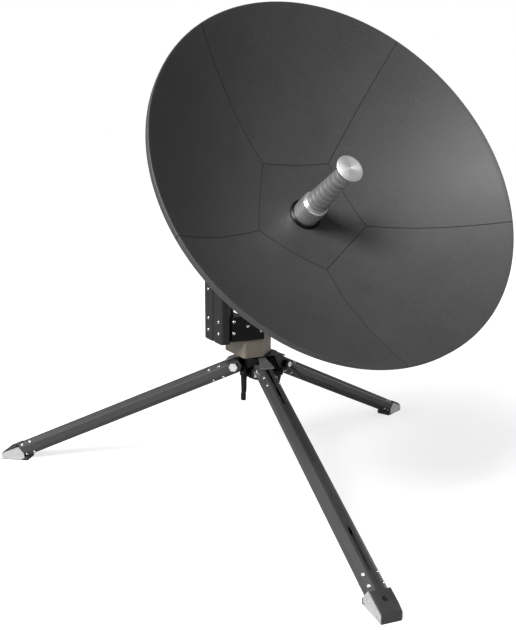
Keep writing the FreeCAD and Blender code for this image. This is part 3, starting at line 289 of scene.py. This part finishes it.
def tube_skin(name, place, shade, roughness):
    """The carbon cloth of the legs and of the column tubes."""
    return carbon(name, place, shade, TUBE_PITCH, TUBE_CLOTH_TURN, roughness, 0.5)


def anodised(name, shade, roughness, metallic, wear):
    """Anodised aluminium: a fine etched grain, with the colour thin on the edges."""
    graph = Graph(name)
    vector = graph.place()
    fine = graph.noise(vector, 1500.0, 2.0, 0.6)
    broad = graph.noise(vector, 22.0, 4.0, 0.6)
    normal, edge = graph.rounded(0.7 * MM)
    patchy = graph.times(edge, graph.span(broad, 0.35, 0.65))
    base = graph.blend(graph.span(broad, 0.3, 0.7), shade * 0.85, shade * 1.2)
    base = graph.blend(graph.times(patchy, wear), base, min(shade * 9, 0.75))
    rough = graph.span(broad, 0.3, 0.7, roughness - 0.05, roughness + 0.09)
    return graph.finish(Base_Color=base, Metallic=metallic, Roughness=rough,
                        Normal=graph.bump(fine, 0.03 * MM, 0.5, normal))


def powder_coat(name, rgb):
    """Powder coat: orange peel, tiny darker flecks and a slightly worn edge."""
    graph = Graph(name)
    vector = graph.place()
    peel = graph.noise(vector, 420.0, 3.0, 0.55)
    flecks = graph.noise(vector, 1400.0, 1.0, 0.5)
    dust = graph.noise(vector, 14.0, 5.0, 0.6)
    normal, edge = graph.rounded(1.2 * MM)
    dark = tuple(c * 0.78 for c in rgb)
    light = tuple(min(c * 1.25, 1.0) for c in rgb)
    base = graph.blend(graph.span(dust, 0.3, 0.7, 0.0, 0.6), rgb, dark)
    base = graph.blend(graph.times(graph.span(flecks, 0.6, 0.75), 0.5), base, dark)
    base = graph.blend(graph.times(edge, 0.4), base, light)
    return graph.finish(Base_Color=base, Roughness=graph.span(dust, 0.3, 0.7, 0.38, 0.5),
                        Normal=graph.bump(peel, 0.12 * MM, 0.5, normal))


def wave(graph, angle, count, phase):
    """A sine wave that repeats some times around an axis."""
    return graph.math("SINE", graph.plus(graph.times(angle, count), phase))


def turned(name, place, shade, roughness, pitch, painted_reflection_strength):
    """Metal turned about a frame's z axis: fine rings, and a painted reflection of paler and darker wedges
    around the axis.
    """
    graph = Graph(name)
    vector = graph.place(place)
    x, y, z = graph.split(vector)
    radius = graph.math("SQRT", graph.plus(graph.times(x, x), graph.times(y, y)))
    step = graph.math("DIVIDE", graph.plus(radius, graph.times(z, 0.7)), pitch)
    rings = graph.add("ShaderNodeTexNoise", {"W": step, "Scale": 1.0, "Detail": 2.0},
                      noise_dimensions="1D").outputs["Fac"]
    smears = graph.noise(vector, 40.0, 4.0, 0.6)
    normal, _ = graph.rounded(0.3 * MM)
    base = graph.blend(graph.span(rings, 0.3, 0.7), shade * 0.82, shade)
    base = graph.blend(graph.span(smears, 0.4, 0.7, 0.0, 0.25), base, shade * 0.7)
    # Painted reflection: wedges around the axis darken the base colour, standing in for the fan-shaped
    # reflections of turned metal; the last argument sets their strength.
    angle = graph.math("ARCTAN2", y, x)
    painted_reflection_wedges = graph.plus(wave(graph, angle, 2.0, 0.6), graph.times(wave(graph, angle, 5.0, 1.4), 0.7))
    base = graph.blend(graph.span(painted_reflection_wedges, -0.6, 0.6, painted_reflection_strength, 0.0), base, shade * 0.55)
    rough = graph.span(rings, 0.3, 0.7, roughness - 0.04, roughness + 0.08)
    return graph.finish(Base_Color=base, Metallic=0.9, Roughness=rough, Anisotropic=0.4,
                        Tangent=graph.away_from_axis(place),
                        Normal=graph.bump(rings, 0.01 * MM, 0.05, normal))


def brushed(name, shade, place, roughness=0.3, metallic=1.0):
    """Metal brushed along a frame's x axis."""
    graph = Graph(name)
    streaks = graph.noise(graph.place(place, (8, 700, 700)), 1.0, 4.0, 0.6)
    broad = graph.noise(graph.place(place), 30.0, 3.0, 0.5)
    normal, edge = graph.rounded(0.4 * MM)
    base = graph.blend(graph.span(streaks, 0.3, 0.7), shade * 0.8, shade)
    base = graph.blend(graph.times(edge, 0.5), base, min(shade * 1.2, 0.95))
    rough = graph.span(graph.plus(streaks, broad), 0.7, 1.3, roughness - 0.06, roughness + 0.1)
    return graph.finish(Base_Color=base, Metallic=metallic, Roughness=rough,
                        Normal=graph.bump(streaks, 0.03 * MM, 0.5, normal))


def machined(name, rgb, roughness=0.3, edge_radius=0.3 * MM):
    """Plain machined metal with faint stains."""
    graph = Graph(name)
    vector = graph.place()
    stains = graph.noise(vector, 60.0, 5.0, 0.65)
    scratches = graph.noise(vector, 900.0, 2.0, 0.5)
    normal, _ = graph.rounded(edge_radius)
    dark = tuple(c * 0.7 for c in rgb)
    base = graph.blend(graph.span(stains, 0.35, 0.7), rgb, dark)
    rough = graph.span(stains, 0.3, 0.7, roughness, roughness + 0.12)
    return graph.finish(Base_Color=base, Metallic=1.0, Roughness=rough,
                        Normal=graph.bump(scratches, 0.02 * MM, 0.4, normal))


def moulded(name, shade, roughness):
    """Moulded plastic with a spark-eroded grain."""
    graph = Graph(name)
    vector = graph.place()
    grain = graph.noise(vector, 650.0, 3.0, 0.6)
    scuffs = graph.noise(vector, 30.0, 5.0, 0.65)
    normal, edge = graph.rounded(1.0 * MM)
    base = graph.blend(graph.span(scuffs, 0.35, 0.7), shade, shade * 1.5)
    base = graph.blend(graph.times(edge, 0.25), base, shade * 4)
    rough = graph.span(scuffs, 0.3, 0.7, roughness - 0.05, roughness + 0.12)
    return graph.finish(Base_Color=base, Roughness=rough,
                        Normal=graph.bump(grain, 0.08 * MM, 0.6, normal))


# ---- carried-over CAD nodes ------------------------------------------------------------------
def dress(node, material, sharp_angle=35.0):
    """Give a CAD node its material and smooth shading between its sharp edges."""
    obj = frame["nodes"][node]
    obj.data.materials.clear()
    obj.data.materials.append(material)
    smooth(obj, sharp_angle)


def smooth(obj, sharp_angle):
    """Smooth shading, except over edges sharper than an angle."""
    mesh = obj.data
    mesh.polygons.foreach_set("use_smooth", [True] * len(mesh.polygons))
    mesh.set_sharp_from_angle(angle=math.radians(sharp_angle))


def leg_place(name):
    """A leg's own frame at rest: x along it towards the foot, z away from its top face."""
    origin, turn = joint_place("leg_%s_fold" % name)
    low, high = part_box("foot_block_" + name)
    foot = (low + high) / 2
    along = foot - origin
    along -= along.project(turn)
    return axes_at(origin, along, along.cross(turn))


BLACK = anodised("black_anodised", 0.013, 0.34, 0.85, 0.22)
GREY = anodised("grey_anodised", 0.22, 0.42, 0.7, 0.3)
STEEL = machined("machined_steel", (0.42, 0.42, 0.44), 0.3)
BRONZE = machined("sintered_bronze", (0.52, 0.34, 0.16), 0.42)
STAINLESS = machined("stainless_steel", (0.82, 0.82, 0.84), 0.16, 0.25 * MM)
BEIGE = powder_coat("beige_coating", (0.16, 0.14, 0.11))
PLASTIC = moulded("black_plastic", 0.022, 0.48)
# The last argument of turned() is the strength of the painted reflection wedges: none on the collar and
# horn, 0.3 on the splash plate.
TURNED = turned("turned_aluminium", DISH, 0.95, 0.27, 2.0 * MM, 0.0)
PLATE = turned("turned_plate", DISH, 1.0, 0.5, 3.0 * MM, 0.3)
COLUMN = tube_skin("carbon_column", axes_at((0, 0, 0), (1, 0, 1), (1, 0, 0)), COLUMN_SHADE, 0.5)


def dress_tripod():
    """Materials of the hub and the legs."""
    for node in ("hub_casting", "azimuth_lock_lever"):
        dress(node, BLACK)
    dress("leg_stop_wedges", GREY)
    dress("hinge_bolts", STAINLESS)
    dress("azimuth_spindle", STEEL)
    dress("azimuth_gear", STEEL)
    for leg in LEGS:
        place = leg_place(leg)
        dress("leg_channels_" + leg, tube_skin("carbon_leg_" + leg, place, LEG_SHADE, 0.4), 20.0)
        dress("hinge_block_" + leg, BLACK)
        dress("leg_spacer_" + leg, PLASTIC)
        dress("foot_block_" + leg, PLASTIC)
        dress("foot_plates_" + leg, brushed("brushed_plate_" + leg, 0.62, place, 0.4, 0.6))
        dress("leg_screws_" + leg, STAINLESS)
        dress("clamp_lever_" + leg, BLACK)


def dress_head():
    """Materials of the azimuth head."""
    for node in ("turntable", "yoke_sides", "front_plate", "elevation_crank"):
        dress(node, BLACK)
    for node in ("gear_housing", "housing_lid"):
        dress(node, BEIGE)
    for node in ("azimuth_pinion", "elevation_pinion"):
        dress(node, STEEL)
    dress("plain_bushes", BRONZE)
    dress("uprights", COLUMN)
    dress("yoke_screws", STAINLESS)
    dress("azimuth_knob", PLASTIC)


def dress_reflector():
    """Materials of the reflector and the feed."""
    for index in range(PETALS):
        dress("latch_%d" % (index + 1), BLACK)
    turns = [FIRST_SEAM - (index + 0.5) * SECTOR for index in range(PETALS)]
    sides = [((-math.cos(turn), -math.sin(turn), 0), APOTHEM) for turn in turns]
    dress("centre_panel", reflector_skin("carbon_centre", DISH, CENTRE_CLOTH_TURN, sides))
    for node in ("hub_plate", "cradle_arms", "feed_flange"):
        dress(node, BLACK)
    for node in ("elevation_axle", "elevation_sector"):
        dress(node, STEEL)
    dress("orthomode_transducer", brushed("brushed_block", 0.62, DISH))
    dress("lnb", GREY)


# ---- mesh building ---------------------------------------------------------------------------
def loft(rows, around=False):
    """Points and faces between closed loops; the ends are capped unless the rows close round."""
    count = len(rows[0])
    points = [point for row in rows for point in row]
    faces = []
    last = len(rows) if around else len(rows) - 1
    for row in range(last):
        near = row * count
        far = (row + 1) % len(rows) * count
        for corner in range(count):
            after = (corner + 1) % count
            faces.append((near + corner, near + after, far + after, far + corner))
    if not around:
        faces.append(tuple(reversed(range(count))))
        faces.append(tuple(range(last * count, (last + 1) * count)))
    return points, faces


def lathe(profile, steps=128):
    """A closed outline of (radius, height) points turned about Z."""
    rows = []
    for step in range(steps):
        angle = math.tau * step / steps
        rows.append([(r * math.cos(angle), r * math.sin(angle), z) for r, z in profile])
    return loft(rows, around=True)


def arc(centre, radius, start, end, steps=6):
    """Points of an arc between two angles in degrees."""
    points = []
    for step in range(steps + 1):
        angle = math.radians(start + (end - start) * step / steps)
        points.append((centre[0] + radius * math.cos(angle), centre[1] + radius * math.sin(angle)))
    return points


def round_corners(outline, radius, steps=3):
    """A closed 2-D outline whose corners are replaced by short curves."""
    rounded = []
    for index, point in enumerate(outline):
        corner = Vector(point)
        before = Vector(outline[index - 1]) - corner
        after = Vector(outline[(index + 1) % len(outline)]) - corner
        start = corner + before.normalized() * min(radius, before.length * 0.45)
        end = corner + after.normalized() * min(radius, after.length * 0.45)
        for step in range(steps + 1):
            t = step / steps
            rounded.append(tuple(start.lerp(corner, t).lerp(corner.lerp(end, t), t)))
    return rounded


def rectangle(x0, x1, y0, y1, radius):
    """A rectangle with rounded corners."""
    return round_corners([(x0, y0), (x1, y0), (x1, y1), (x0, y1)], radius)


def add_piece(name, solids, place, material, body, node, sharp_angle):
    """One object from closed point-and-face lists, on a body, standing for a CAD node."""
    build = bmesh.new()
    for points, faces in solids:
        corners = [build.verts.new(place @ Vector(point)) for point in points]
        for face in faces:
            build.faces.new([corners[i] for i in face])
    bmesh.ops.remove_doubles(build, verts=build.verts, dist=0.002 * MM)
    bmesh.ops.recalc_face_normals(build, faces=build.faces)
    mesh = bpy.data.meshes.new(name)
    build.to_mesh(mesh)
    build.free()
    mesh.materials.append(material)
    piece = bpy.data.objects.new(name, mesh)
    bpy.context.scene.collection.objects.link(piece)
    smooth(piece, sharp_angle)
    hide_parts(node)
    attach(piece, body)


# ---- reflector pieces ------------------------------------------------------------------------
def depth(radius):
    """Height of the reflecting surface over its vertex."""
    return radius ** 2 / (4 * FOCAL)


def slope(radius):
    """Angle of the reflecting surface, in degrees."""
    return math.degrees(math.atan(radius / (2 * FOCAL)))


def even(start, end, steps):
    """Evenly spaced values, both ends included."""
    return [start + (end - start) * step / steps for step in range(steps + 1)]


def skin_section(start):
    """Outline of a petal's skin from its inner edge: front, rolled rim, lip and back."""
    turn = 90 + slope(RIM)
    edge = RIM - LIP_ROUND + LIP_ROUND * math.cos(math.radians(turn))
    roll = (RIM - LIP_ROUND, depth(edge) - LIP_ROUND * math.sin(math.radians(turn)))
    low = depth(RIM) - LIP_DEPTH
    inside = RIM - LIP_WALL
    tangent = inside - LIP_HEEL * (1 + math.sin(math.radians(slope(inside))))
    lean = slope(tangent)
    heel = (inside - LIP_HEEL, depth(tangent) - SKIN - LIP_HEEL * math.cos(math.radians(lean)))
    section = [(r, depth(r)) for r in even(start, edge, 40)]
    section += arc(roll, LIP_ROUND, turn, 0)[1:]
    section += arc((RIM - LIP_EASE, low + LIP_EASE), LIP_EASE, 0, -90, 4)
    section += arc((inside + LIP_EASE, low + LIP_EASE), LIP_EASE, -90, -180, 4)
    section += arc(heel, LIP_HEEL, 0, 90 + lean)
    section += [(r, depth(r) - SKIN) for r in even(tangent, start, 40)[1:]]
    return section


def petal_skin():
    """The skin of a petal whose middle lies along +X."""
    rows = []
    for across in even(-1.0, 1.0, 48):
        start = APOTHEM + SEAM_GAP
        for _ in range(3):
            start = (APOTHEM + SEAM_GAP) / math.cos(across * (SECTOR / 2 - SEAM_GAP / 2 / start))
        row = []
        for r, z in skin_section(start):
            angle = across * (SECTOR / 2 - SEAM_GAP / 2 / r)
            row.append((r * math.cos(angle), r * math.sin(angle), z))
        rows.append(row)
    return loft(rows)


def seam_rib(side):
    """The stiffening rib behind one seam edge of a petal whose middle lies along +X."""
    middle = SEAM_GAP / 2 + RIB_WIDTH / 2
    turn = Matrix.Rotation(side * SECTOR / 2, 3, "Z")
    rows = []
    for x in even(CORE + 1.0 * MM, RIB_END, 30):
        high = depth(x) - SKIN / 2
        section = rectangle(-RIB_WIDTH / 2, RIB_WIDTH / 2, depth(x) - SKIN - RIB_DEPTH, high, 1.2 * MM)
        rows.append([turn @ Vector((x, -side * (middle + y), z)) for y, z in section])
    return loft(rows)


def inner_rib():
    """The rib along a petal's inner edge, which its latch hooks on to."""
    reach = APOTHEM * math.tan(SECTOR / 2) - SEAM_GAP
    near = APOTHEM + SEAM_GAP
    rows = []
    for y in even(-reach, reach, 24):
        high = depth(math.hypot(near, y)) - SKIN / 2
        section = rectangle(near, near + RIB_WIDTH, FLANGE_LEVEL, high, 1.0 * MM)
        rows.append([(x, y, z) for x, z in section])
    return loft(rows)


def add_petals():
    """The five petals."""
    across = math.sin(SECTOR / 2)
    along = math.cos(SECTOR / 2)
    sides = [((across, -along, 0), 0.0), ((across, along, 0), 0.0), ((1, 0, 0), -APOTHEM)]
    for index in range(PETALS):
        place = DISH @ Matrix.Rotation(FIRST_SEAM - (index + 0.5) * SECTOR, 4, "Z")
        number = index + 1
        skin = reflector_skin("carbon_petal_%d" % number, place, PETAL_CLOTH_TURN, sides)
        solids = [petal_skin(), seam_rib(1), seam_rib(-1), inner_rib()]
        add_piece("petal_skin_%d" % number, solids, place, skin, "reflector", "petal_%d" % number, 30.0)


# ---- feed pieces -----------------------------------------------------------------------------
HORN_BEADS = 9
HORN_START_RADIUS = 32.0 * MM
HORN_END_RADIUS = 21.5 * MM
BEAD_HEIGHT = 1.2 * MM
BEAD_STEPS = 8
GROOVE_SHARE = 0.16
BORE_RADIUS = 9.6 * MM            # hidden inside the horn and the collar
COLLAR_ROUND = 6.0 * MM
COLLAR_NECK_SHARE = 0.3
COLLAR_STEP = 6.0 * MM
COLLAR_CHAMFER = 1.0 * MM
PLATE_EDGE_ROUND = 1.2 * MM
PLATE_EDGE_DROP = 3.0 * MM        # from the plate's middle to the middle of its edge
PLATE_MARK = 1.5 * MM             # radius of the centre mark
PLATE_NECK = 18.5 * MM


def horn_outline():
    """Outline of the horn: beads between narrow grooves, tapering to the splash plate."""
    low, high = local_box("feed_horn", DISH)
    pitch = (high.z - low.z) / HORN_BEADS
    outline = [(BORE_RADIUS, low.z)]
    for bead in range(HORN_BEADS):
        for step in range(BEAD_STEPS + 1):
            share = GROOVE_SHARE + (1 - GROOVE_SHARE) * step / BEAD_STEPS
            z = low.z + (bead + share) * pitch
            taper = HORN_START_RADIUS + (HORN_END_RADIUS - HORN_START_RADIUS) * (bead + share) / HORN_BEADS
            swell = math.sin(math.pi * step / BEAD_STEPS)
            outline.append((taper - BEAD_HEIGHT * (1 - swell), z))
    outline.append((BORE_RADIUS, high.z))
    return outline


def collar_outline():
    """Outline of the collar: a narrow neck under a wide ring with a rounded shoulder."""
    low, high = local_box("feed_collar", DISH)
    wide = high.x
    neck = wide - COLLAR_STEP
    shelf = low.z + COLLAR_NECK_SHARE * (high.z - low.z)
    outline = [(BORE_RADIUS, low.z), (neck, low.z), (neck, shelf)]
    outline += [(wide - COLLAR_CHAMFER, shelf), (wide, shelf + COLLAR_CHAMFER)]
    outline += arc((wide - COLLAR_ROUND, high.z - COLLAR_ROUND), COLLAR_ROUND, 0, 90, 8)
    outline += [(BORE_RADIUS, high.z)]
    return outline


def splash_outline():
    """Outline of the splash plate: a cone under a slightly domed face with a centre mark."""
    low, high = local_box("subreflector", DISH)
    edge = (high.x - PLATE_EDGE_ROUND, high.z - PLATE_EDGE_DROP)
    outline = [(0, low.z), (PLATE_NECK, low.z), (edge[0], edge[1] - 1.5 * MM)]
    outline += arc(edge, PLATE_EDGE_ROUND, -60, 60, 5)
    outline += [(high.x - 4 * MM, high.z - 0.5 * MM), (PLATE_MARK + 1 * MM, high.z)]
    outline += [(PLATE_MARK, high.z - 0.4 * MM), (0, high.z - 0.4 * MM)]
    return outline


def add_feed():
    """The horn, its collar and the splash plate."""
    add_piece("collar", [lathe(collar_outline())], DISH, TURNED, "feed", "feed_collar", 30.0)
    add_piece("horn", [lathe(horn_outline())], DISH, TURNED, "feed", "feed_horn", 40.0)
    add_piece("splash_plate", [lathe(splash_outline())], DISH, PLATE, "feed", "subreflector", 25.0)


# ---- studio ----------------------------------------------------------------------------------
CAMERA_PLACE = (-1.0762, -2.0400, 0.9647)      # from the foot of the azimuth axis
CAMERA_TURN = 27.69                            # degrees, and so are the next two
CAMERA_DIP = 11.11
CAMERA_ROLL = 0.23
LENS = 44.14
SENSOR = 36.0
AMBIENT = 0.23                                 # light of the world, for everything but the camera
FLOOR_HALF = 30.0
FLOOR_GLOW_NEAR = 0.68                         # seen by the camera only, so the floor meets the world
FLOOR_GLOW_FAR = 1.0


def add_camera():
    """The camera, at the height and angle of somebody standing in front of the antenna."""
    data = bpy.data.cameras.new("camera")
    data.sensor_fit = "VERTICAL"
    data.sensor_height = SENSOR
    data.lens = LENS
    camera = bpy.data.objects.new("camera", data)
    turn = Matrix.Rotation(math.radians(-CAMERA_TURN), 4, "Z")
    dip = Matrix.Rotation(math.radians(90 - CAMERA_DIP), 4, "X")
    roll = Matrix.Rotation(math.radians(CAMERA_ROLL), 4, "Z")
    camera.matrix_world = Matrix.Translation(AZIMUTH + Vector(CAMERA_PLACE)) @ turn @ dip @ roll
    bpy.context.scene.collection.objects.link(camera)
    bpy.context.scene.camera = camera


def add_light(name, place, target, size, power):
    """A square soft box that faces a point; both are given from the foot of the azimuth axis."""
    data = bpy.data.lights.new(name, "AREA")
    data.size = size
    data.energy = power
    light = bpy.data.objects.new(name, data)
    aim = Vector(target) - Vector(place)
    light.rotation_euler = aim.to_track_quat("-Z", "Y").to_euler()
    light.location = AZIMUTH + Vector(place)
    bpy.context.scene.collection.objects.link(light)


def add_floor():
    """The pale floor."""
    mesh = bpy.data.meshes.new("floor")
    corners = [(x * FLOOR_HALF, y * FLOOR_HALF, 0) for x, y in ((-1, -1), (1, -1), (1, 1), (-1, 1))]
    mesh.from_pydata(corners, [], [(0, 1, 2, 3)])
    floor = bpy.data.objects.new("floor", mesh)
    bpy.context.scene.collection.objects.link(floor)
    graph = Graph("studio_floor")
    haze = graph.noise(graph.place(), 0.6, 2.0, 0.4)
    seen = graph.add("ShaderNodeLightPath").outputs["Is Camera Ray"]
    away = graph.vectors("DISTANCE", graph.place(), AZIMUTH)["Value"]
    glow = graph.times(seen, graph.span(away, 1.0, 2.5, FLOOR_GLOW_NEAR, FLOOR_GLOW_FAR))
    mesh.materials.append(graph.finish(Base_Color=graph.blend(haze, 0.48, 0.52), Roughness=0.75,
                                       Emission_Color=1.0, Emission_Strength=glow))


def add_lights():
    """The soft boxes: one in front on the left, one behind on the left and a weak one on the right."""
    add_light("key", (-3.2, -2.4, 3.9), (0, -0.2, 0.8), 2.0, 420.0)
    add_light("side", (-3.6, 1.2, 1.6), (0, 0, 0.6), 1.6, 50.0)
    add_light("fill", (2.8, -0.3, 0.3), (0, 0, 0.4), 1.2, 25.0)


def add_world():
    """A world that is white for the camera and dimmer as a light."""
    world = bpy.data.worlds.new("studio")
    world.use_nodes = True
    tree = world.node_tree
    seen = tree.nodes.new("ShaderNodeLightPath").outputs["Is Camera Ray"]
    strength = tree.nodes.new("ShaderNodeMapRange")
    strength.inputs["To Min"].default_value = AMBIENT
    tree.links.new(seen, strength.inputs["Value"])
    background = tree.nodes["Background"]
    background.inputs["Color"].default_value = (1.0, 1.0, 1.0, 1.0)
    tree.links.new(strength.outputs[0], background.inputs["Strength"])
    bpy.context.scene.world = world
    bpy.context.scene.view_settings.view_transform = "Standard"


dress_tripod()
dress_head()
dress_reflector()
add_petals()
add_feed()
add_camera()
add_floor()
add_lights()
add_world()
